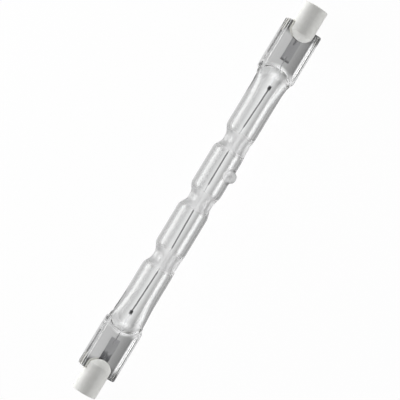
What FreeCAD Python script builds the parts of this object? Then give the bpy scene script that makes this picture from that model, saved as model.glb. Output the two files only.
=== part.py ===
import FreeCAD, Part
import math
import os

from FreeCAD import Placement, Rotation, Vector

# Linear halogen bulb in millimetres. The bulb's axis is X and the origin is the axis's middle.
# Everything is modelled with the press seals flat in the XY plane, and rolled to rest at the end.
# Angles around the axis are measured from the press seals' upward normal, towards -Y.

# Cap to cap, and how far inside of each cap's end the press seal ends
overall_length = 117.6
press_setback = 6.2
contact_depth = 1.7

# Quartz tube; its roots, where it turns oval, start and end this far inside of the press seal's end
tube_diameter = 8.7
tube_wall = 1.0
root_start_setback = {"left": 22.5, "right": 19.1}
root_end_setback = 15.2
root_flare = 0.35
root_squash = 0.2

# Waists: place as a share of the press seals' reach, outside diameter at the throat, sideways
# shift of the throat, and where the filament's coils stop before and after it
waist_sizes = (
    (-0.3432, 7.3, 0.5, 3.25, 3.25),
    (-0.0038, 6.8, 0.3, 2.7, 4.5),
    (0.3337, 7.2, 0.5, 2.55, 4.25),
)
waist_half_length = 3.8
throat_half_length = 0.5
throat_bore = 4.0
shift_angle = 70.0
waist_sections = 9

# Shoulders, where the tube was pinched flat: a cone about an upright axis on each end
shoulder_setback = 19.1
shoulder_radius = 7.4
shoulder_slope = 50.0

# Press seals
press_width = 10.6
web_thickness = 1.9
rib_thickness = 3.4
rib_width = 1.3
rib_radius = 0.55
rib_length = 16.2
rib_corner_length = 2.0
rib_corner_depth = 0.8

# Exhaust tip
tip_share = 0.173
tip_angle = 40.0
tip_diameter = 2.7
tip_foot_diameter = 3.6
tip_reach = 6.0
tip_wall = 0.7

# Filament: each coiled stretch's sideways offsets at its start and end
coil_offsets = ((-0.1, 0.3), (0.29, 0.0), (-0.18, -0.18), (-0.08, 0.5))
coil_setback = 18.4
coil_diameter = 0.5
filament_wire = 0.16

# Leads and foils
inner_lead_diameter = 0.4
lead_head_diameter = 0.8
lead_head_length = 1.0
filament_grip = 0.4
foil_width = 2.7
foil_thickness = 0.05
foil_setback = 10.3
foil_length = 7.7
weld_length = 1.5
outer_lead_diameter = 0.6
outer_weld_length = 2.8

# Ceramic caps; their jaws taper by this much of the radius, up to a little past the press seal
cap_diameter = 7.0
cap_dome_radius = 3.9
cap_length = 10.3
cap_rim = 0.3
jaw_taper = 0.1
jaw_end_gap = 0.15
slot_clearance = 0.25
slot_floor_gap = 0.4
recess_diameter = 4.4
cement_setback = 0.35

# Contact buttons
contact_diameter = 3.6
contact_thickness = 0.8
contact_edge = 0.2
shank_diameter = 1.8
shank_length = 2.4
contact_clearance = 0.05
lead_grip = 2.0
crimp_clearance = 0.02

SIDES = {"left": -1, "right": 1}

# A point this close to a plane counts as on it
touch = 0.01

tube_radius = tube_diameter / 2
bore_radius = tube_radius - tube_wall
cap_end = overall_length / 2
cap_jaw_apex = cap_end - cap_length
contact_face = cap_end - contact_depth
head_seat = contact_face - contact_thickness
press_end = cap_end - press_setback
root_end = press_end - root_end_setback
shoulder_axis_x = press_end - shoulder_setback
rib_root_x = press_end - rib_length
slot_floor = press_end + slot_floor_gap
jaw_end = press_end + jaw_end_gap
slot_height = web_thickness + 2 * slot_clearance
foil_start = press_end - foil_setback
foil_end = foil_start + foil_length
coil_end = press_end - coil_setback


def around(angle, radius):
    """The point in the YZ plane at this angle around the axis."""
    turn = math.radians(angle)
    return Vector(0, -radius * math.sin(turn), radius * math.cos(turn))


def on_side(shape, side):
    """The shape as built for the right end, or its mirror image for the left end."""
    if SIDES[side] > 0:
        return shape
    return shape.mirror(Vector(0, 0, 0), Vector(1, 0, 0))


def along_x(x, length, radius):
    """A cylinder on the axis."""
    return Part.makeCylinder(radius, length, Vector(x, 0, 0), Vector(1, 0, 0))


def rod(start, end, diameter):
    """A round rod from one point to another."""
    run = end - start
    return Part.makeCylinder(diameter / 2, run.Length, start, run)


def block(x, length, width, height):
    """A box centred on the axis."""
    return Part.makeBox(length, width, height, Vector(x, -width / 2, -height / 2))


def joined(shapes):
    """One solid from overlapping or touching ones."""
    return shapes[0].multiFuse(shapes[1:]).removeSplitter()


def waist_stretch(x, shift, radius, throat):
    """One waist: round sections that narrow to the throat and widen again on smooth slopes."""
    wires = []
    for i in range(waist_sections):
        u = waist_half_length * (2 * i / (waist_sections - 1) - 1)
        slope = waist_half_length - throat_half_length
        part = max(abs(u) - throat_half_length, 0) / slope
        depth = (1 + math.cos(math.pi * part)) / 2
        centre = Vector(x + u, 0, 0) + around(shift_angle, shift * depth)
        circle = Part.Circle(centre, Vector(1, 0, 0), radius - (radius - throat) * depth)
        wires.append(Part.Wire(circle.toShape()))
    return Part.makeLoft(wires, True)


def shoulder_cone(radius):
    """The space inside the press jaws' cone, whose edge line lies in the XY plane."""
    height = radius * math.tan(math.radians(shoulder_slope))
    profile = Part.makePolygon(
        [Vector(0, 0, -height), Vector(radius, 0, 0), Vector(0, 0, height), Vector(0, 0, -height)]
    )
    cone = Part.Face(profile).revolve(Vector(0, 0, 0), Vector(0, 0, 1), 360)
    cone.translate(Vector(shoulder_axis_x, 0, 0))
    return cone


def root_stretch(side, radius, cone_radius):
    """The tube's last stretch for the right end: it grows oval, and the cone pinches it flat."""
    start = press_end - root_start_setback[side]
    reach = shoulder_axis_x + cone_radius
    round_wire = Part.Wire(Part.Circle(Vector(start, 0, 0), Vector(1, 0, 0), radius).toShape())
    oval = Part.Ellipse(
        Vector(root_end, radius + root_flare, 0),
        Vector(root_end, 0, radius - root_squash),
        Vector(root_end, 0, 0),
    )
    oval_wire = Part.Wire(oval.toShape())
    flaring = Part.makeLoft([round_wire, oval_wire], True)
    straight = Part.Face(oval_wire).extrude(Vector(reach - root_end, 0, 0))
    return joined([flaring, straight]).common(shoulder_cone(cone_radius))


def tube_shape(radius, cone_radius, throats):
    """The whole tube's outside or bore: lobes, waists and both pinched ends."""
    pieces = []
    lobe_start = root_start_setback["left"] - press_end
    for (share, _, shift, _, _), throat in zip(waist_sizes, throats):
        x = share * press_end
        lobe_end = x - waist_half_length
        pieces.append(along_x(lobe_start, lobe_end - lobe_start, radius))
        pieces.append(waist_stretch(x, shift, radius, throat))
        lobe_start = x + waist_half_length
    lobe_end = press_end - root_start_setback["right"]
    pieces.append(along_x(lobe_start, lobe_end - lobe_start, radius))
    for side in SIDES:
        pieces.append(on_side(root_stretch(side, radius, cone_radius), side))
    return joined(pieces)


def press_rib(edge):
    """One thick edge of the right press seal, with rounded edges and a rounded tip."""
    inner = press_width / 2 - rib_width
    outer = press_width / 2
    corner = Vector(rib_root_x, min(edge * inner, edge * outer), -rib_thickness / 2)
    rib = Part.makeBox(rib_length, rib_width, rib_thickness, corner)
    rib = rib.makeFillet(rib_radius, [e for e in rib.Edges if e.BoundBox.XMax > press_end - touch])
    narrowing = Part.makePolygon(
        [
            Vector(rib_root_x, edge * (outer - rib_corner_depth), -rib_thickness),
            Vector(rib_root_x, edge * (outer + rib_corner_depth), -rib_thickness),
            Vector(rib_root_x + 2 * rib_corner_length, edge * (outer + rib_corner_depth), -rib_thickness),
            Vector(rib_root_x, edge * (outer - rib_corner_depth), -rib_thickness),
        ]
    )
    return rib.cut(Part.Face(narrowing).extrude(Vector(0, 0, 2 * rib_thickness)))


def press_seal():
    """The right press seal: a flat web between two ribs."""
    web = block(rib_root_x, rib_length, press_width - rib_width, web_thickness)
    return joined([web, press_rib(1), press_rib(-1)])


def exhaust_tip():
    """The melted-off stub of the exhaust tube, round on top, with a wide foot."""
    foot = (tube_radius + bore_radius) / 2
    top = tip_reach - tip_diameter / 2
    cone = Part.makeCone(tip_foot_diameter / 2, tip_diameter / 2, tube_radius - foot, Vector(0, 0, foot))
    stem = Part.makeCylinder(tip_diameter / 2, top - tube_radius, Vector(0, 0, tube_radius))
    ball = Part.makeSphere(tip_diameter / 2, Vector(0, 0, top))
    tip = joined([cone, stem, ball]) if top > tube_radius else joined([cone, ball])
    foot_centre = Vector(tip_share * press_end, 0, 0)
    tip.Placement = Placement(foot_centre, Rotation(Vector(1, 0, 0), tip_angle))
    return tip


def tip_hollow():
    """The end of the tubulation inside the exhaust tip, open to the bore."""
    radius = tip_diameter / 2 - tip_wall
    top = tip_reach - tip_diameter / 2
    stem = Part.makeCylinder(radius, top)
    hollow = joined([stem, Part.makeSphere(radius, Vector(0, 0, top))])
    foot_centre = Vector(tip_share * press_end, 0, 0)
    hollow.Placement = Placement(foot_centre, Rotation(Vector(1, 0, 0), tip_angle))
    return hollow


def coil_points():
    """Start and end point of each coiled stretch of the filament, one stretch in each lobe."""
    starts = [-coil_end]
    ends = []
    for share, _, _, before, after in waist_sizes:
        ends.append(share * press_end - before)
        starts.append(share * press_end + after)
    ends.append(coil_end)
    points = []
    for start, end, offsets in zip(starts, ends, coil_offsets):
        pair = zip((start, end), offsets)
        points.append([Vector(x, 0, 0) + around(shift_angle, offset) for x, offset in pair])
    return points


def filament():
    """One wire: coiled stretches as full rods, joined by thin straight legs."""
    stretches = coil_points()
    pieces = [rod(start, end, coil_diameter) for start, end in stretches]
    for (_, leg_start), (leg_end, _) in zip(stretches, stretches[1:]):
        lap = (leg_end - leg_start).normalize() * filament_grip
        pieces.append(rod(leg_start - lap, leg_end + lap, filament_wire))
    return joined(pieces)


def filament_end(side):
    """Where the filament ends, as seen from the right end."""
    stretches = coil_points()
    end = stretches[-1][1] if SIDES[side] > 0 else stretches[0][0]
    return Vector(abs(end.x), end.y, end.z)


def welded_tail(start, length, diameter):
    """The end of a wire, flattened to half round, which lies on the foil's upper face."""
    return along_x(start, length, diameter / 2).cut(
        Part.makeBox(length, diameter, diameter, Vector(start, -diameter / 2, foil_thickness / 2 - diameter))
    )


def inner_lead(side):
    """The right inner lead: a head that grips the filament, a wire, and a tail on the foil."""
    end = filament_end(side)
    entry = Vector(foil_start - weld_length, 0, 0)
    lead = joined(
        [
            rod(end - Vector(filament_grip, 0, 0), end + Vector(lead_head_length, 0, 0), lead_head_diameter),
            rod(end, entry, inner_lead_diameter),
            Part.makeSphere(inner_lead_diameter / 2, entry),
            along_x(entry.x, foil_start - entry.x, inner_lead_diameter / 2),
            welded_tail(foil_start, weld_length, inner_lead_diameter),
        ]
    )
    return lead


def moly_foil():
    """The right foil in the middle of the press seal's web."""
    return block(foil_start, foil_length, foil_width, foil_thickness)


def outer_lead():
    """The right outer lead: a tail on the foil, then a round wire into the contact's shank."""
    weld_start = foil_end - outer_weld_length
    lead_end = head_seat - shank_length + lead_grip
    return joined(
        [
            welded_tail(weld_start, outer_weld_length, outer_lead_diameter),
            along_x(foil_end, lead_end - foil_end, outer_lead_diameter / 2),
        ]
    )


def quartz_envelope(leads, foils):
    """Tube, press seals and exhaust tip in one piece, melted around the foils and leads."""
    bore_cone = shoulder_radius - tube_wall / math.sin(math.radians(shoulder_slope))
    throats = [diameter / 2 for _, diameter, _, _, _ in waist_sizes]
    outside = tube_shape(tube_radius, shoulder_radius, throats)
    inside = tube_shape(bore_radius, bore_cone, [throat_bore / 2] * len(throats))
    glass = joined([outside, exhaust_tip()] + [on_side(press_seal(), side) for side in SIDES])
    return glass.cut(joined([inside, tip_hollow()])).cut(Part.makeCompound(leads + foils))


def cap_blank(inset):
    """A round bar with slightly tapered jaws and a domed end, smaller all round by the inset."""
    radius = cap_diameter / 2 - inset
    apex = cap_jaw_apex + inset
    dome_radius = cap_dome_radius - inset
    jaws = Part.makeCone(radius - jaw_taper, radius, jaw_end - apex, Vector(apex, 0, 0), Vector(1, 0, 0))
    dome = Part.makeSphere(dome_radius, Vector(apex + dome_radius, 0, 0))
    return joined([jaws.common(dome), along_x(jaw_end, cap_end - jaw_end, radius)])


def ceramic_cap():
    """The right cap: jaws around the press seal, a stepped hole for the contact, an open recess."""
    cap = cap_blank(0)
    rim = [e for e in cap.Edges if e.BoundBox.XMin > cap_end - touch]
    cap = cap.makeFillet(cap_rim, rim)
    slot = block(cap_jaw_apex, slot_floor - cap_jaw_apex, cap_diameter, slot_height)
    hole = along_x(slot_floor, head_seat - slot_floor, shank_diameter / 2 + contact_clearance)
    seat = along_x(head_seat, contact_thickness, contact_diameter / 2 + contact_clearance)
    recess = along_x(contact_face, contact_depth, recess_diameter / 2)
    return cap.cut(slot).cut(hole).cut(seat).cut(recess)


def base_cement():
    """The right cap's cement: it fills the slot around the press seal's end, a little set back."""
    cap = cap_blank(cement_setback)
    slot = block(cap_jaw_apex, slot_floor - cap_jaw_apex, cap_diameter, slot_height)
    web = block(cap_jaw_apex, press_end - cap_jaw_apex, cap_diameter, web_thickness)
    return cap.common(slot).cut(web).cut(outer_lead())


def contact_button():
    """The right contact: a flat head in its seat, with a hollow shank crimped on the lead."""
    head = along_x(head_seat, contact_thickness, contact_diameter / 2)
    rim = [e for e in head.Edges if e.BoundBox.XMin > contact_face - touch]
    head = head.makeFillet(contact_edge, rim)
    shank_start = head_seat - shank_length
    shank = along_x(shank_start, shank_length, shank_diameter / 2)
    hole = along_x(shank_start, lead_grip, outer_lead_diameter / 2 + crimp_clearance)
    return joined([head, shank]).cut(hole)


def rest_roll():
    """The turn about X at which the lobes and one rib of each press seal touch the same floor."""
    across = press_width / 2 - rib_radius
    up = rib_thickness / 2 - rib_radius
    drop = tube_radius - rib_radius
    return math.degrees(math.asin(drop / math.hypot(across, up)) - math.atan2(up, across))


def export(name, shape):
    """Rolls one piece to rest and writes it."""
    rolled = shape.copy()
    rolled.rotate(Vector(0, 0, 0), Vector(1, 0, 0), rest_roll())
    rolled.exportStep("parts/" + name + ".step")


def main():
    os.makedirs("parts", exist_ok=True)
    coil = filament()
    ends = {}
    for side in SIDES:
        lead = on_side(inner_lead(side), side)
        ends["inner_lead_" + side] = lead.cut(coil)
        ends["moly_foil_" + side] = on_side(moly_foil(), side)
        ends["outer_lead_" + side] = on_side(outer_lead(), side)
        ends["ceramic_cap_" + side] = on_side(ceramic_cap(), side)
        ends["contact_button_" + side] = on_side(contact_button(), side)
        ends["base_cement_" + side] = on_side(base_cement(), side)
    leads = [shape for name, shape in ends.items() if "lead" in name]
    foils = [shape for name, shape in ends.items() if "foil" in name]
    export("quartz_envelope", quartz_envelope(leads, foils))
    export("filament_coil", coil)
    for name, shape in ends.items():
        export(name, shape)
    print("rest roll", round(rest_roll(), 2), "degrees")


main()
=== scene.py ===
import math

import bpy
import numpy as np
from mathutils import Matrix, Vector


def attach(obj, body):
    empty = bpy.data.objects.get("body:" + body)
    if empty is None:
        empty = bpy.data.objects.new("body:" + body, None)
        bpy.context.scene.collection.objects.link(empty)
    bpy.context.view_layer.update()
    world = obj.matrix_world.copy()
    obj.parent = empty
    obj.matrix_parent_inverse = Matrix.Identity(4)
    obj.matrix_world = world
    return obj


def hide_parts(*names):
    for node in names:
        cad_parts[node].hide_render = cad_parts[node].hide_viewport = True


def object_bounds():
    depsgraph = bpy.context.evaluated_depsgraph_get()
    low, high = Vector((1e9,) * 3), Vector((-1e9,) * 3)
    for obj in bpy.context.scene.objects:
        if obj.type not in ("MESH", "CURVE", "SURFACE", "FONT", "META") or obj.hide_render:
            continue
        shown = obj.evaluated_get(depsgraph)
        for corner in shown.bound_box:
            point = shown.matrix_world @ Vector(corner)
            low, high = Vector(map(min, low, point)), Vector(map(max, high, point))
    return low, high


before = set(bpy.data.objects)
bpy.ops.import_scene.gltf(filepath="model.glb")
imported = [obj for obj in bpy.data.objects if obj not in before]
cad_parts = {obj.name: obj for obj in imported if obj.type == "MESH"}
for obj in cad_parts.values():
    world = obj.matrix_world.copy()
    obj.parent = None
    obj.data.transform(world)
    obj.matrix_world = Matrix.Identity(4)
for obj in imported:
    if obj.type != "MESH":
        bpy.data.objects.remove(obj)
cad_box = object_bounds()

# Sizes in millimetres, as in the construction. Shapes are worked out with the press seals flat in
# the XY plane and rolled about X to rest; MM turns them into metres.
MM = 0.001
REST_ROLL = math.radians(37.43)
ROLL = Matrix.Rotation(REST_ROLL, 4, "X")

# The tube and its last stretches, which grow oval towards the press seals
TUBE_RADIUS = 4.35
TUBE_WALL = 1.0
ROOT_START = {-1: 30.1, 1: 33.5}
ROOT_END = 37.4
ROOT_FLARE = 0.35
ROOT_SQUASH = 0.2
BORE_FLARE = 0.45
BORE_FLARE_START = 28.0
# Each waist's place along X, its throat's outside radius, and its throat's shift sideways
WAISTS = ((-18.05, 3.65, 0.5), (-0.2, 3.4, 0.3), (17.55, 3.6, 0.5))
WAIST_HALF_LENGTH = 3.8
THROAT_HALF_LENGTH = 0.5
THROAT_BORE_RADIUS = 2.0
SHIFT_ANGLE = math.radians(70)
# The shoulders, where a cone pinches the tube flat, and the press seals with their edge ribs
SHOULDER_AXIS_X = 33.5
SHOULDER_RADIUS = 7.4
SHOULDER_SLOPE = math.radians(50)
SHOULDER_BLEND = 1.6
PRESS_BLEND = 2.0
PRESS_END = 52.6
PRESS_HALF_WIDTH = 5.27
WEB_HALF = 0.95
RIB_HALF = 1.64
RIB_WIDTH = 0.85
RIB_RADIUS = 0.55
RIB_BLEND = 0.5
RIB_ROOT_X = 36.4
RIB_CORNER_LENGTH = 2.0
RIB_CORNER_DEPTH = 0.8
RIB_ROOT_SHARE = 0.3
RIB_CROWD_MARGIN = 0.4
RIB_CROWDING = 1.2
RIB_CROWDING_REACH = 2
# The exhaust tip: a bell with a round top, and the bore's hollow in it
TIP_X = 9.1
TIP_ANGLE = math.radians(40)
TIP_TOP = 0.95
TIP_FOOT = 2.1
TIP_REACH = 5.65
TIP_HOLLOW = 1.9
TIP_HOLLOW_TOP = 0.5
TIP_HOLLOW_FOOT = 1.9
# The filament's coils, one to a lobe: place along X and shift sideways of each end
COIL_STRETCHES = (
    ((-34.2, -0.1), (-21.3, 0.3)),
    ((-14.8, 0.29), (-2.9, 0.0)),
    ((4.3, -0.18), (15.0, -0.18)),
    ((21.8, -0.08), (34.2, 0.5)),
)
COIL_RADIUS = 0.25
COIL_WIRE = 0.12
COIL_PITCH = 0.24

# Points round a quarter of a section of the glass, and the fine samples that they are picked from
QUARTER_POINTS = 37
OUTLINE_SAMPLES = 500
EDGE_SAMPLES = 60
BORE_SAMPLES = 400
FLAT_EDGE = 0.05

# Steps along X between the sections, finer where the form changes
LOBE_STEP = 0.8
TIP_LOBE_STEP = 0.6
LEFT_ROOT_STEP = 0.5
RIGHT_ROOT_STEP = 0.4
WAIST_STEP = 0.25
FINE_STEP = 0.11
END_STEP = 0.06
SHOULDER_END = 41.4
TIP_SPAN = 2.2
BORE_FINE_START = 35.5
BORE_LOBE_STEP = 0.8
BORE_ROOT_STEP = 0.5
BORE_WAIST_STEP = 0.2
BORE_FINE_STEP = 0.12
BORE_TIP_STEP = 0.1

# How rough the quartz is where it was worked hot. Each waist's haze fades between two distances
# from its middle, and SEAL_HAZES gives distances from the bulb's middle.
WAIST_HAZE = 0.29
WAIST_HAZE_SPAN = (2.4, 3.6)
SEAL_HAZES = ((41.2, 0.1), (40.0, 0.2), (37.6, 0.2), (36.2, 0.0))
HAZE_REACH = 54.0
TIP_HAZE = 0.5
TIP_HAZE_RISE = 0.8
TIP_HAZE_REACH = 2.9
TIP_HAZE_FADE = 0.5

# The photograph: the bulb's axis rises to the right at this angle, and one pixel is this long
PHOTO_SIZE = 400
PIXEL = 0.261
AXIS_TILT = math.radians(58.85)
CENTRE_PIXEL = (199.8, 199.9)
CAMERA_LEAN = math.radians(17.5)
LENS = 200.0
SENSOR = 36.0

# Tones of the materials, dark and light, which fine mottling or drawing lines mix
MOTTLING_SPAN = (0.3, 0.7)
QUARTZ_TONES = ((0.985, 0.99, 0.99), (1.0, 1.0, 1.0))
CERAMIC_TONES = ((0.80, 0.80, 0.77), (0.86, 0.86, 0.835))
CEMENT_TONES = ((0.62, 0.61, 0.57), (0.8, 0.79, 0.75))
WIRE_TONES = ((0.12, 0.12, 0.125), (0.3, 0.3, 0.31))
CONTACT_TONES = ((0.5, 0.48, 0.44), (0.66, 0.64, 0.6))
FILAMENT_TONES = ((0.08, 0.08, 0.085), (0.16, 0.16, 0.165))
QUARTZ_IOR = 1.458
# Grain of the metals along X, Y and Z, in cells of noise to a metre
DRAWN_GRAIN = (200, 4000, 4000)
FOIL_GRAIN = (150, 3000, 3000)
CAST_GRAIN = (1500, 1500, 1500)
FILAMENT_GRAIN = (3000, 3000, 3000)

# Tones along X of the inner leads, outwards from the bulb's middle, and of the left foil, each at
# a place in millimetres. FOIL_WELD is where the right foil's dark inner end lightens.
LEAD_SPAN = (30.0, 50.0)
LEAD_TONES = (
    (34.8, (0.05, 0.05, 0.052)),
    (35.2, (0.78, 0.78, 0.79)),
    (38.0, (0.78, 0.78, 0.79)),
    (39.6, (0.62, 0.62, 0.63)),
    (41.6, (0.3, 0.3, 0.305)),
)
LEAD_GRAIN = 0.01
FOIL_SPAN = (-42.0, -52.0)
FOIL_TONES = (
    (-48.0, (0.3, 0.3, 0.305)),
    (-48.6, (0.17, 0.17, 0.175)),
    (-50.0, (0.1, 0.1, 0.105)),
    (-51.0, (0.2, 0.2, 0.2)),
)
FOIL_BLOTCHES = 0.35
FOIL_WELD = (42.7, 43.0)
FOIL_WELD_LEVEL = 0.5

# The soft boxes beside the bulb: angles from the camera's side and radiance, where 1 is white.
# The fills light the matt pieces and aren't seen in the glass.
BOXES = (("left_box", -106, -66, 2.7), ("right_box", 56, 71, 2.5))
FILLS = ((-105, -65, 2.9), (58, 71, 4.0))
BOX_DISTANCE = 0.3
BOX_LENGTH = 0.3
END_RADIANCE = 2.7
END_ELEVATION = 9
END_DISTANCE = 0.35
END_BOX_SIZE = (0.4, 0.15)
WORLD_STRENGTH = 0.1
PAPER_SHARE = 0.97
FLOOR_HALF_WIDTH = 1.5

# The floor's painted levels, which the camera never sees. Through the glass there is a painted shadow
# of the bulb with painted bright caustic lines under the tube, a painted shadow under the press seals
# and a darker one under the caps. In the glass's reflections there are painted darker bands beside the
# bulb. Each level is at a distance in millimetres from the axis to the photo's right. The two rises
# say how far from the bulb's middle the seals' and the caps' painted shadows take over.
SHADOW_REACH = 14.0
TUBE_SHADOW = (
    (-8.0, 0.5), (-5.0, 0.72), (-3.6, 0.46), (-1.3, 0.92), (1.0, 0.3),
    (2.2, 0.9), (3.9, 0.25), (6.0, 0.47), (9.0, 0.35), (12.0, 1.0),
)
SEAL_SHADOW = (
    (-6.0, 0.54), (-2.0, 0.47), (0.5, 0.29), (2.5, 0.18), (2.75, 1.0), (8.0, 1.0),
)
CAP_SHADOW = 0.08
SEAL_SHADOW_RISE = (38.5, 40.5)
CAP_SHADOW_RISE = (49.5, 51.0)
# Painted reflection: darker bands on the floor beside the bulb, seen only in the glass's reflections
PAINTED_SIDE_REFLECTION = ((-10.0, 0.8), (-2.0, 0.45), (6.0, 0.05), (9.0, 0.05), (13.0, 0.8))


def smooth(edge0, edge1, value):
    """A smooth rise from 0 at edge0 to 1 at edge1."""
    t = np.clip((value - edge0) / (edge1 - edge0), 0, 1)
    return t * t * (3 - 2 * t)


def smooth_max(a, b, blend):
    """The larger of the two, with a fillet where they come closer than the blend."""
    near = np.maximum(blend - np.abs(a - b), 0) / blend
    return np.maximum(a, b) + near**2 * blend / 4


def smooth_min(a, b, blend):
    """The smaller of the two, rounded where they come closer than the blend."""
    return -smooth_max(-a, -b, blend)


def waist_depth(x):
    """The waist at x by its place in WAISTS, or none on a lobe, and how near its throat x is."""
    for index, (place, _, _) in enumerate(WAISTS):
        offset = abs(x - place)
        if offset < WAIST_HALF_LENGTH:
            slope = WAIST_HALF_LENGTH - THROAT_HALF_LENGTH
            part = max(offset - THROAT_HALF_LENGTH, 0) / slope
            return index, (1 + math.cos(math.pi * part)) / 2
    return None, 0.0


def tube_half_sizes(x, radius):
    """Half width and half height of the tube's outside or bore beside the press seals."""
    side = 1 if x > 0 else -1
    part = float(smooth(ROOT_START[side], ROOT_END, abs(x)))
    return radius + ROOT_FLARE * part, radius - ROOT_SQUASH * part


def cone_height(x, y, cone_radius):
    """Height that the shoulder's cone leaves above the XY plane."""
    reach = np.hypot(abs(x) - SHOULDER_AXIS_X, y)
    return (cone_radius - reach) * math.tan(SHOULDER_SLOPE)


def rib_height(x, y):
    """Half thickness of a press seal's edge rib, rounded on all its edges, and its outer edge."""
    root = float(smooth(RIB_ROOT_X, RIB_ROOT_X + RIB_CORNER_LENGTH, abs(x)))
    past = min(max((abs(x) - (PRESS_END - RIB_RADIUS)) / RIB_RADIUS, 0), 0.999)
    shrink = RIB_RADIUS * (1 - math.sqrt(1 - past * past))
    outer = PRESS_HALF_WIDTH - RIB_CORNER_DEPTH * (1 - root) - shrink
    inner = PRESS_HALF_WIDTH - RIB_WIDTH + shrink
    top = RIB_HALF * (RIB_ROOT_SHARE + (1 - RIB_ROOT_SHARE) * root) - shrink
    middle, half = (outer + inner) / 2, (outer - inner) / 2
    radius = min(RIB_RADIUS, half * 0.95)
    inside = np.clip(np.abs(y - middle) - (half - radius), 0, radius)
    height = top - radius + np.sqrt(np.maximum(radius**2 - inside**2, 0))
    return np.where(np.abs(y - middle) <= half, height, 0.0), outer


def quarter_outline(x):
    """Upper right quarter of the glass's outside at x, from the top to the side, as y and z."""
    half_width, half_height = tube_half_sizes(x, TUBE_RADIUS)
    angle = np.linspace(0, math.pi / 2, OUTLINE_SAMPLES)
    in_tube = abs(x) < SHOULDER_AXIS_X + SHOULDER_RADIUS + PRESS_BLEND
    in_press = abs(x) > RIB_ROOT_X
    width = 0.0
    if in_tube:
        cone_width = math.sqrt(max(SHOULDER_RADIUS**2 - max(abs(x) - SHOULDER_AXIS_X, 0) ** 2, 0))
        width = min(half_width, cone_width)
    if in_press:
        width = max(width, rib_height(x, np.zeros(1))[1])
    y = width * np.sin(angle)
    z = np.zeros(OUTLINE_SAMPLES)
    if in_tube:
        tube = half_height * np.sqrt(np.maximum(1 - (y / half_width) ** 2, 0))
        z = smooth_min(tube, cone_height(x, y, SHOULDER_RADIUS), SHOULDER_BLEND)
    if in_press:
        rib, outer = rib_height(x, y)
        web = np.where(y < PRESS_HALF_WIDTH - RIB_WIDTH / 2, WEB_HALF, 0.0)
        body = smooth_max(z, web, PRESS_BLEND) if in_tube else web
        z = np.where(y <= outer, smooth_max(body, rib, RIB_BLEND), z)
    z = np.maximum(z, 0)
    z[-1] = 0.0 if z[-2] < FLAT_EDGE else z[-2]
    side = np.linspace(z[-1], 0, EDGE_SAMPLES)[1:]
    return np.append(y, np.full(len(side), width)), np.append(z, side)


def resampled(y, z, count, crowding):
    """The outline as this many points, evenly spaced but closer together near the ribs."""
    steps = np.hypot(np.diff(y), np.diff(z))
    middle = (y[1:] + y[:-1]) / 2
    weight = 1 + crowding * (middle > PRESS_HALF_WIDTH - RIB_WIDTH - RIB_CROWD_MARGIN)
    along = np.append(0, np.cumsum(steps * weight))
    wanted = np.linspace(0, along[-1], count)
    return np.interp(wanted, along, y), np.interp(wanted, along, z)


def full_loop(y, z):
    """A whole section from its upper right quarter, starting at the top."""
    ys = np.concatenate([y, y[-2::-1], -y[1:], -y[-2:0:-1]])
    zs = np.concatenate([z, -z[-2::-1], -z[1:], z[-2:0:-1]])
    return ys, zs


def round_section(x, radius, throat_index, throat_radius, depth, count):
    """A round section of a lobe or a waist, shifted sideways at a throat."""
    shift = 0.0
    if throat_index is not None:
        shift = WAISTS[throat_index][2] * depth
        radius = radius - (radius - throat_radius) * depth
    angle = np.linspace(0, 2 * math.pi, count, endpoint=False)
    y = radius * np.sin(angle) - shift * math.sin(SHIFT_ANGLE)
    z = radius * np.cos(angle) + shift * math.cos(SHIFT_ANGLE)
    return y, z


def tip_distance(x, angle, radius):
    """Distance from the exhaust tip's middle, along a round surface of this radius."""
    across = radius * (np.mod(angle + TIP_ANGLE + math.pi, 2 * math.pi) - math.pi)
    return np.hypot(x - TIP_X, across)


def tip_bulge(x, angle):
    """How far the exhaust tip stands out of the tube: a bell with a round top."""
    distance = tip_distance(x, angle, TUBE_RADIUS)
    return (TIP_REACH - TUBE_RADIUS) * (1 - smooth(TIP_TOP, TIP_FOOT, distance))


def tip_hollow(x, angle):
    """How far the bore reaches out into the exhaust tip."""
    distance = tip_distance(x, angle, TUBE_RADIUS - TUBE_WALL)
    return TIP_HOLLOW * (1 - smooth(TIP_HOLLOW_TOP, TIP_HOLLOW_FOOT, distance))


def spaced(start, end, step):
    """Places from start up to end, about one step apart, without the last."""
    count = max(int(round((end - start) / step)), 1)
    return list(np.linspace(start, end, count, endpoint=False))


def glass_places():
    """Places along X of the glass's outer sections: closer together where the form changes."""
    before = [place - WAIST_HALF_LENGTH for place, _, _ in WAISTS]
    after = [place + WAIST_HALF_LENGTH for place, _, _ in WAISTS]
    ends_and_steps = (
        (-PRESS_END + RIB_RADIUS, END_STEP),
        (-SHOULDER_END, LOBE_STEP),
        (-RIB_ROOT_X, FINE_STEP),
        (-ROOT_START[-1], LEFT_ROOT_STEP),
        (before[0], LOBE_STEP),
        (after[0], WAIST_STEP),
        (before[1], LOBE_STEP),
        (after[1], WAIST_STEP),
        (TIP_X - TIP_SPAN, TIP_LOBE_STEP),
        (TIP_X + TIP_SPAN, FINE_STEP),
        (before[2], TIP_LOBE_STEP),
        (after[2], WAIST_STEP),
        (ROOT_START[1], LOBE_STEP),
        (RIB_ROOT_X, RIGHT_ROOT_STEP),
        (SHOULDER_END, FINE_STEP),
        (PRESS_END - RIB_RADIUS, LOBE_STEP),
        (PRESS_END, END_STEP),
    )
    places = []
    start = -PRESS_END
    for end, step in ends_and_steps:
        places += spaced(start, end, step)
        start = end
    return places + [PRESS_END]


def mesh_object(name, vertices, faces):
    """A new smooth mesh object in metres, rolled to rest, from points in millimetres."""
    mesh = bpy.data.meshes.new(name)
    turned = [ROLL @ Vector(v) * MM for v in vertices]
    mesh.from_pydata(turned, [], faces)
    mesh.validate()
    mesh.update()
    mesh.polygons.foreach_set("use_smooth", [True] * len(mesh.polygons))
    obj = bpy.data.objects.new(name, mesh)
    bpy.context.collection.objects.link(obj)
    return obj


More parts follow.
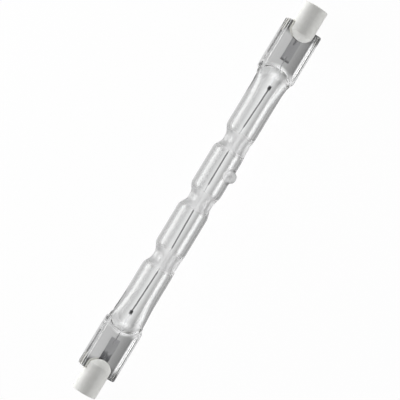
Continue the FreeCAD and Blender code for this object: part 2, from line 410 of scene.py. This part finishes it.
def loft(sections, first=0, flip=False):
    """Vertices and faces of a skin over closed sections, with both ends closed by strips."""
    count = len(sections[0])
    vertices = [point for section in sections for point in section]
    faces = []
    for i in range(len(sections) - 1):
        for j in range(count):
            k = (j + 1) % count
            a, b = first + i * count, first + (i + 1) * count
            faces.append((a + j, b + j, b + k, a + k))
    for ring, turned in ((first, True), (first + (len(sections) - 1) * count, False)):
        for j in range(count // 2):
            quad = (ring + j, ring + (count - j) % count, ring + count - j - 1, ring + j + 1)
            quad = tuple(dict.fromkeys(quad))
            faces.append(quad[::-1] if turned else quad)
    if flip:
        faces = [face[::-1] for face in faces]
    return vertices, faces


def outer_sections():
    """The glass's outside, section by section along X."""
    sections = []
    count = 4 * (QUARTER_POINTS - 1)
    angle = np.linspace(0, 2 * math.pi, count, endpoint=False)
    for x in glass_places():
        if -ROOT_START[-1] <= x <= ROOT_START[1]:
            index, depth = waist_depth(x)
            throat = WAISTS[index][1] if index is not None else TUBE_RADIUS
            y, z = round_section(x, TUBE_RADIUS, index, throat, depth, count)
            bulge = tip_bulge(x, angle) if abs(x - TIP_X) < TIP_SPAN else np.zeros(count)
            y, z = y + bulge * np.sin(angle), z + bulge * np.cos(angle)
        else:
            near, far = ROOT_END - RIB_CROWDING_REACH, ROOT_END + RIB_CROWDING_REACH
            crowding = RIB_CROWDING * float(smooth(near, far, abs(x)))
            y, z = full_loop(*resampled(*quarter_outline(x), QUARTER_POINTS, crowding))
        sections.append([(x, float(a), float(b)) for a, b in zip(y, z)])
    return sections


def inner_sections():
    """The tube's bore, section by section along X."""
    radius = TUBE_RADIUS - TUBE_WALL
    cone_radius = SHOULDER_RADIUS - TUBE_WALL / math.sin(SHOULDER_SLOPE)
    reach = SHOULDER_AXIS_X + cone_radius - 0.01
    start = -ROOT_START[-1]
    places = spaced(-reach, -BORE_FINE_START, BORE_FINE_STEP)
    places += spaced(-BORE_FINE_START, start, BORE_ROOT_STEP)
    for place, _, _ in WAISTS:
        if start < TIP_X < place:
            hollow_start, hollow_end = TIP_X - TIP_HOLLOW_FOOT, TIP_X + TIP_HOLLOW_FOOT
            places += spaced(start, hollow_start, BORE_LOBE_STEP)
            places += spaced(hollow_start, hollow_end, BORE_TIP_STEP)
            start = hollow_end
        waist_start, waist_end = place - WAIST_HALF_LENGTH, place + WAIST_HALF_LENGTH
        places += spaced(start, waist_start, BORE_LOBE_STEP)
        places += spaced(waist_start, waist_end, BORE_WAIST_STEP)
        start = waist_end
    places += spaced(start, ROOT_START[1], BORE_LOBE_STEP)
    places += spaced(ROOT_START[1], BORE_FINE_START, BORE_ROOT_STEP)
    places += spaced(BORE_FINE_START, reach, BORE_FINE_STEP) + [reach]
    sections = []
    count = 4 * (QUARTER_POINTS - 1)
    angle = np.linspace(0, math.pi / 2, BORE_SAMPLES)
    for x in places:
        if -ROOT_START[-1] <= x <= ROOT_START[1]:
            index, depth = waist_depth(x)
            y, z = round_section(x, radius, index, THROAT_BORE_RADIUS, depth, count)
            y *= 1 + BORE_FLARE / radius * float(smooth(BORE_FLARE_START, ROOT_END, abs(x)))
            if abs(x - TIP_X) < TIP_HOLLOW_FOOT:
                around = np.linspace(0, 2 * math.pi, count, endpoint=False)
                bulge = tip_hollow(x, around)
                y, z = y + bulge * np.sin(around), z + bulge * np.cos(around)
        else:
            half_width, half_height = tube_half_sizes(x, radius)
            half_width += BORE_FLARE * float(smooth(BORE_FLARE_START, ROOT_END, abs(x)))
            ahead = max(abs(x) - SHOULDER_AXIS_X, 0)
            width = min(half_width, math.sqrt(max(cone_radius**2 - ahead**2, 1e-6)))
            y = width * np.sin(angle)
            tube = half_height * np.sqrt(np.maximum(1 - (y / half_width) ** 2, 0))
            z = np.maximum(smooth_min(tube, cone_height(x, y, cone_radius), SHOULDER_BLEND), 0)
            y, z = full_loop(*resampled(y, z, QUARTER_POINTS, 0))
        sections.append([(x, float(a), float(b)) for a, b in zip(y, z)])
    return sections


def quartz_envelope():
    """The quartz in one piece: its outside skin, and its bore as a skin that faces inwards."""
    vertices, faces = loft(outer_sections())
    inner_vertices, inner_faces = loft(inner_sections(), len(vertices), True)
    return mesh_object("quartz_glass", vertices + inner_vertices, faces + inner_faces)


def across(shift):
    """The point in the YZ plane that is shifted sideways as the throats are."""
    return Vector((0, -shift * math.sin(SHIFT_ANGLE), shift * math.cos(SHIFT_ANGLE)))


def wire(name, points, radius, sides=6):
    """A round wire along a line of points, with a frame carried along it."""
    vertices, faces = [], []
    normal = Vector((0, 0, 1))
    for i, point in enumerate(points):
        tangent = (points[min(i + 1, len(points) - 1)] - points[max(i - 1, 0)]).normalized()
        normal = (normal - tangent * normal.dot(tangent)).normalized()
        binormal = tangent.cross(normal)
        for j in range(sides):
            turn = 2 * math.pi * j / sides
            vertices.append(point + radius * (math.cos(turn) * normal + math.sin(turn) * binormal))
    for i in range(len(points) - 1):
        for j in range(sides):
            k = (j + 1) % sides
            faces.append((i * sides + j, i * sides + k, (i + 1) * sides + k, (i + 1) * sides + j))
    faces.append(tuple(range(sides))[::-1])
    faces.append(tuple((len(points) - 1) * sides + j for j in range(sides)))
    return mesh_object(name, vertices, faces)


def filament_line(steps_per_turn=12):
    """The filament's centre line: a helix along each lobe and a straight leg across each waist."""
    points = []
    for (start_x, start_shift), (end_x, end_shift) in COIL_STRETCHES:
        start = Vector((start_x, 0, 0)) + across(start_shift)
        end = Vector((end_x, 0, 0)) + across(end_shift)
        turns = round((end - start).length / COIL_PITCH)
        total = turns * steps_per_turn
        for i in range(total + 1):
            turn = 2 * math.pi * i / steps_per_turn
            ease = min(i, total - i) / (2 * steps_per_turn)
            radius = (COIL_RADIUS - COIL_WIRE / 2) * min(ease, 1)
            centre = start.lerp(end, i / total)
            points.append(centre + Vector((0, radius * math.sin(turn), radius * math.cos(turn))))
    return points


def node_material(name):
    """A new node material, its tree and its Principled shader."""
    material = bpy.data.materials.new(name)
    material.use_nodes = True
    tree = material.node_tree
    return material, tree, tree.nodes["Principled BSDF"]


def coordinates(tree, scale):
    """Object coordinates in units of one over scale."""
    source = tree.nodes.new("ShaderNodeTexCoord")
    mapping = tree.nodes.new("ShaderNodeMapping")
    mapping.inputs["Scale"].default_value = scale
    tree.links.new(source.outputs["Object"], mapping.inputs["Vector"])
    return mapping.outputs["Vector"]


def noise(tree, vector, scale, detail=3.0):
    """A noise texture's value."""
    node = tree.nodes.new("ShaderNodeTexNoise")
    node.inputs["Scale"].default_value = scale
    node.inputs["Detail"].default_value = detail
    tree.links.new(vector, node.inputs["Vector"])
    return node.outputs["Fac"]


def ramp(tree, value, stops):
    """A colour ramp over a value: stops are places and colours."""
    node = tree.nodes.new("ShaderNodeValToRGB")
    elements = node.color_ramp.elements
    elements.remove(elements[-1])
    elements[0].position = stops[0][0]
    elements[0].color = (*stops[0][1], 1.0)
    for place, colour in stops[1:]:
        elements.new(place).color = (*colour, 1.0)
    tree.links.new(value, node.inputs["Fac"])
    return node.outputs["Color"]


def mottled(tree, value, tones):
    """A mix of a dark and a light tone, by a noise's value."""
    return ramp(tree, value, list(zip(MOTTLING_SPAN, tones)))


def ramp_along(tree, place, span, tones):
    """A colour ramp with its stops in millimetres: place is 0 and 1 at the span's two ends."""
    start, end = span
    return ramp(tree, place, [((mm - start) / (end - start), tone) for mm, tone in tones])


def grey_along(tree, place, reach, levels):
    """The same with grey levels, from as far before the middle as past it."""
    return ramp_along(tree, place, (-reach, reach), [(mm, (level,) * 3) for mm, level in levels])


def math_node(tree, operation, *values):
    """A math node over linked sockets or plain numbers."""
    node = tree.nodes.new("ShaderNodeMath")
    node.operation = operation
    for socket, value in zip(node.inputs, values):
        if isinstance(value, (int, float)):
            socket.default_value = value
        else:
            tree.links.new(value, socket)
    return node.outputs[0]


def fraction(tree, value, start, end):
    """How far a distance in metres has come from start to end, which are in millimetres."""
    return math_node(tree, "MULTIPLY_ADD", value, 1 / ((end - start) * MM), -start / (end - start))


def clamped(tree, value):
    """The value, no less than 0 and no more than 1."""
    return math_node(tree, "MINIMUM", math_node(tree, "MAXIMUM", value, 0.0), 1.0)


def mixed(tree, factor, first, second):
    """The first colour where the factor is 0 and the second where it is 1."""
    node = tree.nodes.new("ShaderNodeMix")
    node.data_type = "RGBA"
    for name, value in (("Factor_Float", factor), ("A_Color", first), ("B_Color", second)):
        socket = next(s for s in node.inputs if s.identifier == name)
        if isinstance(value, tuple):
            socket.default_value = value
        else:
            tree.links.new(value, socket)
    return next(s for s in node.outputs if s.identifier == "Result_Color")


def object_position(tree):
    """The position in object coordinates as one vector, and its X and Y."""
    source = tree.nodes.new("ShaderNodeTexCoord")
    parts = tree.nodes.new("ShaderNodeSeparateXYZ")
    tree.links.new(source.outputs["Object"], parts.inputs[0])
    return source.outputs["Object"], parts.outputs["X"], parts.outputs["Y"]


def bump(tree, shader, height, strength, distance):
    """Bump from a height value onto a shader."""
    node = tree.nodes.new("ShaderNodeBump")
    node.inputs["Strength"].default_value = strength
    node.inputs["Distance"].default_value = distance
    tree.links.new(height, node.inputs["Height"])
    tree.links.new(node.outputs["Normal"], shader.inputs["Normal"])


def worked_haze(tree):
    """The quartz's roughness: clear in the lobes, a little hazy where it was worked hot."""
    position, x, _ = object_position(tree)
    levels = [(-out, level) for out, level in SEAL_HAZES]
    inner, outer = WAIST_HAZE_SPAN
    for middle, _, _ in WAISTS:
        levels += [(middle - outer, 0.0), (middle - inner, WAIST_HAZE)]
        levels += [(middle + inner, WAIST_HAZE), (middle + outer, 0.0)]
    levels += SEAL_HAZES[::-1]
    place = fraction(tree, x, -HAZE_REACH, HAZE_REACH)
    along = grey_along(tree, place, HAZE_REACH, levels)
    distance = tree.nodes.new("ShaderNodeVectorMath")
    distance.operation = "DISTANCE"
    tree.links.new(position, distance.inputs[0])
    reach = TUBE_RADIUS + TIP_HAZE_RISE
    middle = Vector((TIP_X, -reach * math.sin(TIP_ANGLE), reach * math.cos(TIP_ANGLE)))
    distance.inputs[1].default_value = ROLL @ middle * MM
    away = distance.outputs["Value"]
    near = clamped(tree, fraction(tree, away, TIP_HAZE_REACH, TIP_HAZE_REACH - TIP_HAZE_FADE))
    return math_node(tree, "MAXIMUM", along, math_node(tree, "MULTIPLY", near, TIP_HAZE))


def quartz_material():
    """Clear quartz with a faint ripple, which lets the lamps' light through to what it covers."""
    material, tree, shader = node_material("quartz")
    vector = coordinates(tree, (1, 1, 1))
    tint = mottled(tree, noise(tree, vector, 160.0), QUARTZ_TONES)
    tree.links.new(tint, shader.inputs["Base Color"])
    shader.inputs["Transmission Weight"].default_value = 1.0
    shader.inputs["IOR"].default_value = QUARTZ_IOR
    tree.links.new(worked_haze(tree), shader.inputs["Roughness"])
    bump(tree, shader, noise(tree, vector, 250.0), 0.05, 0.0002)
    clear = tree.nodes.new("ShaderNodeBsdfTransparent")
    path = tree.nodes.new("ShaderNodeLightPath")
    mix = tree.nodes.new("ShaderNodeMixShader")
    tree.links.new(path.outputs["Is Shadow Ray"], mix.inputs[0])
    tree.links.new(shader.outputs[0], mix.inputs[1])
    tree.links.new(clear.outputs[0], mix.inputs[2])
    tree.links.new(mix.outputs[0], tree.nodes["Material Output"].inputs["Surface"])
    return material


def matt_material(name, tones, scale, detail, roughness):
    """A matt mineral with fine mottling: its material, tree, shader and mottling."""
    material, tree, shader = node_material(name)
    mottling = noise(tree, coordinates(tree, (1, 1, 1)), scale, detail)
    tree.links.new(mottled(tree, mottling, tones), shader.inputs["Base Color"])
    shader.inputs["Roughness"].default_value = roughness
    return material, tree, shader, mottling


def ceramic_material():
    """White ceramic, unglazed, with a fine grain."""
    material, tree, shader, _ = matt_material("ceramic", CERAMIC_TONES, 900.0, 5.0, 0.6)
    grain = noise(tree, coordinates(tree, (1, 1, 1)), 3000.0, 4.0)
    bump(tree, shader, grain, 0.15, 0.0001)
    return material


def cement_material():
    """Rough off-white cement."""
    material, tree, shader, mottling = matt_material("cement", CEMENT_TONES, 1500.0, 6.0, 0.9)
    bump(tree, shader, mottling, 0.4, 0.0001)
    return material


def metal_material(name, tones, roughness, grain):
    """A metal with a fine grain, which is drawn out along X where its first scale is small."""
    material, tree, shader = node_material(name)
    vector = coordinates(tree, grain)
    value = noise(tree, vector, 1.0, 4.0)
    tree.links.new(mottled(tree, value, tones), shader.inputs["Base Color"])
    shader.inputs["Metallic"].default_value = 1.0
    shader.inputs["Roughness"].default_value = roughness
    bump(tree, shader, value, 0.1, 0.00005)
    return material


def lead_material():
    """A pale molybdenum wire whose head, which grips the filament, is dark."""
    material, tree, shader = node_material("inner_lead")
    _, x, _ = object_position(tree)
    grain = noise(tree, coordinates(tree, DRAWN_GRAIN), 1.0, 4.0)
    place = fraction(tree, math_node(tree, "ABSOLUTE", x), *LEAD_SPAN)
    place = math_node(tree, "MULTIPLY_ADD", grain, LEAD_GRAIN, place)
    colour = ramp_along(tree, place, LEAD_SPAN, LEAD_TONES)
    tree.links.new(colour, shader.inputs["Base Color"])
    shader.inputs["Metallic"].default_value = 1.0
    shader.inputs["Roughness"].default_value = 0.5
    bump(tree, shader, grain, 0.1, 0.00005)
    return material


def foil_material():
    """A grey molybdenum foil: the left one burnt around its outer weld, the right one's inner dark."""
    material, tree, shader = node_material("foil")
    _, x, _ = object_position(tree)
    blotches = noise(tree, coordinates(tree, (1, 1, 1)), 900.0, 2.0)
    place = fraction(tree, x, *FOIL_SPAN)
    place = math_node(tree, "MULTIPLY_ADD", blotches, FOIL_BLOTCHES, place)
    burnt = ramp_along(tree, place, FOIL_SPAN, FOIL_TONES)
    on_left = math_node(tree, "LESS_THAN", x, 0.0)
    past_weld = math_node(tree, "MAXIMUM", fraction(tree, x, *FOIL_WELD), on_left)
    weld = ramp(tree, past_weld, [(0.0, (FOIL_WELD_LEVEL,) * 3), (1.0, (1.0,) * 3)])
    both = tree.nodes.new("ShaderNodeVectorMath")
    both.operation = "MULTIPLY"
    tree.links.new(burnt, both.inputs[0])
    tree.links.new(weld, both.inputs[1])
    tree.links.new(both.outputs[0], shader.inputs["Base Color"])
    shader.inputs["Metallic"].default_value = 1.0
    shader.inputs["Roughness"].default_value = 0.35
    bump(tree, shader, noise(tree, coordinates(tree, FOIL_GRAIN), 1.0, 4.0), 0.1, 0.00005)
    return material


def dress(obj, material):
    """Gives the object this one material."""
    obj.data.materials.clear()
    obj.data.materials.append(material)


def camera_axes():
    """The picture's right and up and the way to the camera, in the world."""
    back = Vector((0, -math.sin(CAMERA_LEAN), math.cos(CAMERA_LEAN)))
    along = Vector((1, 0, 0))
    beside = along.cross(back)
    right = math.cos(AXIS_TILT) * along + math.sin(AXIS_TILT) * beside
    up = math.sin(AXIS_TILT) * along - math.cos(AXIS_TILT) * beside
    return right, up, back, beside


def make_camera():
    """A long lens before the bulb, 20 degrees to one side of the press seals' normal."""
    right, up, back, _ = camera_axes()
    data = bpy.data.cameras.new("camera")
    data.lens = LENS
    data.sensor_width = SENSOR
    data.clip_start = 0.01
    data.clip_end = 20.0
    distance = PHOTO_SIZE * PIXEL * MM * LENS / SENSOR
    to_right = (PHOTO_SIZE / 2 - CENTRE_PIXEL[0]) * PIXEL * MM
    to_top = (CENTRE_PIXEL[1] - PHOTO_SIZE / 2) * PIXEL * MM
    camera = bpy.data.objects.new("camera", data)
    place = right * to_right + up * to_top + back * distance
    turn = Matrix((right, up, back)).transposed().to_4x4()
    camera.matrix_world = Matrix.Translation(place) @ turn
    bpy.context.collection.objects.link(camera)
    bpy.context.scene.camera = camera


def area_light(name, place, turn, length, width, radiance):
    """A rectangular light that gives off this radiance towards the bulb."""
    data = bpy.data.lights.new(name, "AREA")
    data.shape = "RECTANGLE"
    data.size = length
    data.size_y = width
    data.energy = radiance * math.pi * length * width
    light = bpy.data.objects.new(name, data)
    light.matrix_world = Matrix.Translation(place) @ turn
    bpy.context.collection.objects.link(light)
    return light


def soft_box(name, start, end, radiance, mirrored=True):
    """A soft box beside the bulb and parallel to it, between two angles from the camera's side."""
    _, _, back, beside = camera_axes()
    angle = math.radians(start + end) / 2
    width = 2 * BOX_DISTANCE * math.tan(math.radians(end - start) / 2)
    toward = math.cos(angle) * back + math.sin(angle) * beside
    along = Vector((1, 0, 0))
    turn = Matrix((along, toward.cross(along), toward)).transposed().to_4x4()
    light = area_light(name, toward * BOX_DISTANCE, turn, BOX_LENGTH, width, radiance)
    light.visible_glossy = mirrored
    light.visible_transmission = mirrored


def end_box(side):
    """A soft box past one end of the bulb, a little above its axis."""
    _, _, back, beside = camera_axes()
    elevation = math.radians(END_ELEVATION)
    toward = side * math.cos(elevation) * Vector((1, 0, 0)) + math.sin(elevation) * back
    turn = Matrix((beside, toward.cross(beside), toward)).transposed().to_4x4()
    area_light("end_box", toward * END_DISTANCE, turn, *END_BOX_SIZE, END_RADIANCE)


def floor_level(tree, path):
    """The floor's brightness: white to the camera, a painted shadow with painted bright lines through
    the glass, and painted darker bands in its reflections.
    """
    _, x, y = object_position(tree)
    outward = math_node(tree, "ABSOLUTE", x)
    place = fraction(tree, y, SHADOW_REACH, -SHADOW_REACH)
    # Painted shadows and painted bright caustic lines under the tube, the seals and the caps, seen
    # only through the glass
    tube = grey_along(tree, place, SHADOW_REACH, TUBE_SHADOW)
    seals = grey_along(tree, place, SHADOW_REACH, SEAL_SHADOW)
    # Painted darker bands beside the bulb, which only the glass's reflections show
    painted_reflection = grey_along(tree, place, SHADOW_REACH, PAINTED_SIDE_REFLECTION)
    in_seals = clamped(tree, fraction(tree, outward, *SEAL_SHADOW_RISE))
    in_caps = clamped(tree, fraction(tree, outward, *CAP_SHADOW_RISE))
    past_tube = mixed(tree, in_caps, seals, (CAP_SHADOW, CAP_SHADOW, CAP_SHADOW, 1.0))
    under = mixed(tree, in_seals, tube, past_tube)
    level = mixed(tree, path.outputs["Is Glossy Ray"], (1.0, 1.0, 1.0, 1.0), painted_reflection)
    return mixed(tree, path.outputs["Is Transmission Ray"], level, under)


def make_floor():
    """White paper for the camera; through the glass it shows a painted shadow of the bulb with painted
    bright lines.
    """
    low, half = cad_box[0][2], FLOOR_HALF_WIDTH
    mesh = bpy.data.meshes.new("floor")
    corners = [(-half, -half, low), (half, -half, low), (half, half, low), (-half, half, low)]
    mesh.from_pydata(corners, [], [(0, 1, 2, 3)])
    floor = bpy.data.objects.new("floor", mesh)
    bpy.context.collection.objects.link(floor)
    material, tree, shader = node_material("floor")
    shader.inputs["Base Color"].default_value = (0.9, 0.9, 0.9, 1)
    shader.inputs["Roughness"].default_value = 0.8
    path = tree.nodes.new("ShaderNodeLightPath")
    seen = path.outputs["Is Camera Ray"]
    for ray in ("Is Transmission Ray", "Is Glossy Ray"):
        seen = math_node(tree, "MAXIMUM", seen, path.outputs[ray])
    glow = tree.nodes.new("ShaderNodeEmission")
    tree.links.new(floor_level(tree, path), glow.inputs["Color"])
    mix = tree.nodes.new("ShaderNodeMixShader")
    tree.links.new(math_node(tree, "MULTIPLY", seen, PAPER_SHARE), mix.inputs[0])
    tree.links.new(shader.outputs[0], mix.inputs[1])
    tree.links.new(glow.outputs[0], mix.inputs[2])
    tree.links.new(mix.outputs[0], tree.nodes["Material Output"].inputs["Surface"])
    dress(floor, material)


def make_world():
    """A studio that is white behind the bulb and through its glass, and dim as a lamp."""
    world = bpy.data.worlds.new("studio")
    bpy.context.scene.world = world
    world.use_nodes = True
    tree = world.node_tree
    background = tree.nodes["Background"]
    background.inputs["Color"].default_value = (0.8, 0.8, 0.8, 1)
    rays = tree.nodes.new("ShaderNodeLightPath").outputs
    seen = math_node(tree, "MAXIMUM", rays["Is Camera Ray"], rays["Is Transmission Ray"])
    rise = PAPER_SHARE - WORLD_STRENGTH
    strength = math_node(tree, "MULTIPLY_ADD", seen, rise, WORLD_STRENGTH)
    tree.links.new(strength, background.inputs["Strength"])


def make_lights():
    """The lamps at both sides of the bulb and past both ends."""
    for name, start, end, radiance in BOXES:
        soft_box(name, start, end, radiance)
    for start, end, radiance in FILLS:
        soft_box("fill_box", start, end, radiance, False)
    for side in (-1, 1):
        end_box(side)


def dress_nodes():
    """Gives each piece that stays as it was built its material."""
    materials = {
        "ceramic_cap": ceramic_material(),
        "base_cement": cement_material(),
        "inner_lead": lead_material(),
        "outer_lead": metal_material("lead_wire", WIRE_TONES, 0.45, DRAWN_GRAIN),
        "moly_foil": foil_material(),
        "contact_button": metal_material("contact", CONTACT_TONES, 0.3, CAST_GRAIN),
    }
    for name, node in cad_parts.items():
        kind = name.rpartition("_")[0]
        if kind in materials:
            dress(node, materials[kind])


def add_glass():
    """The quartz, in place of the construction's."""
    glass = quartz_envelope()
    dress(glass, quartz_material())
    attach(glass, "root")
    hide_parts("quartz_envelope")


def add_filament():
    """The coiled wire, in place of the construction's full rods."""
    coil = wire("filament_wire", filament_line(), COIL_WIRE / 2)
    dress(coil, metal_material("filament", FILAMENT_TONES, 0.45, FILAMENT_GRAIN))
    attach(coil, "root")
    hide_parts("filament_coil")


def main():
    """The studio and the dressed bulb."""
    bpy.context.scene.view_settings.view_transform = "Standard"
    make_camera()
    make_lights()
    make_floor()
    make_world()
    dress_nodes()
    add_glass()
    add_filament()


main()
